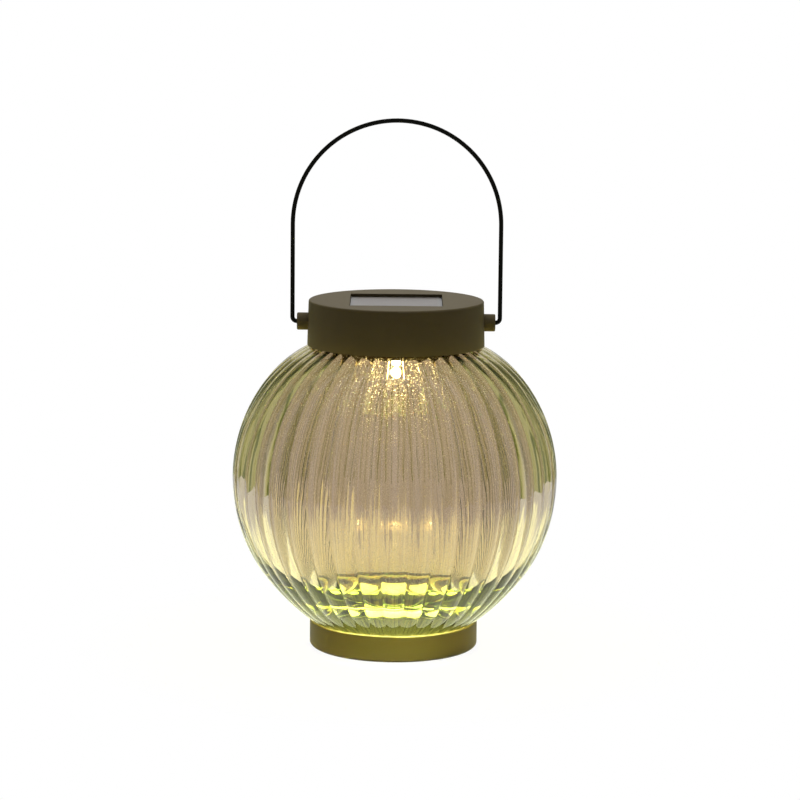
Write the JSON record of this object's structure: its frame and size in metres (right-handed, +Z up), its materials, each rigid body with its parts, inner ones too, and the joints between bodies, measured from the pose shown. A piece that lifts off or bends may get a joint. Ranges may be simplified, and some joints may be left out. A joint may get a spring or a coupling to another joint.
{
  "type": "solar lantern",
  "caption": "Ribbed green glass globe lantern with a solar lid, an LED under the lid, a moulded base cup and a swinging wire bail to carry or hang it by.",
  "frame": {"origin": "middle of the base's underside, on the surface that the lantern stands on", "axes": "+Z up, X along the axis that the bail turns about, -Y towards the viewer of the picture"},
  "size_m": [0.15, 0.15, 0.245],
  "materials": {
    "green_glass": "smooth moulded glass, pale green",
    "olive_plastic": "fine satin moulded texture",
    "silicone": "translucent silicone",
    "foam_rubber": "closed-cell foam",
    "black_coated_wire": "black powder coat",
    "clear_cover": "clear gloss",
    "silicon_cell": "dark silicon",
    "board_laminate": "solder-resist laminate",
    "plated_steel": "zinc plated",
    "battery_sleeve": "shrink sleeve",
    "black_epoxy": "moulded epoxy",
    "lit_led": "lit clear epoxy",
    "lead_insulation": "PVC insulation"
  },
  "bodies": {
    "vessel": {"glass_globe": "green_glass", "base_cup": "olive_plastic", "base_bond": "silicone", "foot_pad": "foam_rubber"},
    "lid": {"cap_shell": "olive_plastic", "solar_cover": "clear_cover", "solar_cells": "silicon_cell", "solar_board": "board_laminate", "panel_tape": "foam_rubber", "lower_housing": "olive_plastic", "lid_seal": "silicone", "housing_screws": "plated_steel", "battery_cell": "battery_sleeve", "battery_spring": "plated_steel", "battery_contact": "plated_steel", "circuit_board": "board_laminate", "driver_chip": "black_epoxy", "inductor": "black_epoxy", "led_lens": "lit_led", "led_leads": "plated_steel", "switch_body": "plated_steel", "panel_leads": "lead_insulation", "battery_leads": "lead_insulation"},
    "bail": {"bail_handle": "black_coated_wire"},
    "door": {"battery_door": "olive_plastic", "battery_door_screws": "plated_steel"},
    "slider": {"switch_slider": "black_epoxy"}
  },
  "joints": [
    {"name": "lid_lift", "type": "slide", "parent": "vessel", "child": "lid", "axis": [0, 0, 1], "range_m": [0, 0.03]},
    {"name": "bail_swing", "type": "hinge", "parent": "lid", "child": "bail", "pos_m": [0, 0, 0.15166], "axis": [1, 0, 0], "range_deg": [-124, 124]},
    {"name": "door_lift_off", "type": "slide", "parent": "lid", "child": "door", "axis": [0, 0, -1], "range_m": [0, 0.013]},
    {"name": "switch_slide", "type": "slide", "parent": "lid", "child": "slider", "axis": [1, 0, 0], "range_m": [0, 0.002]}
  ]
}
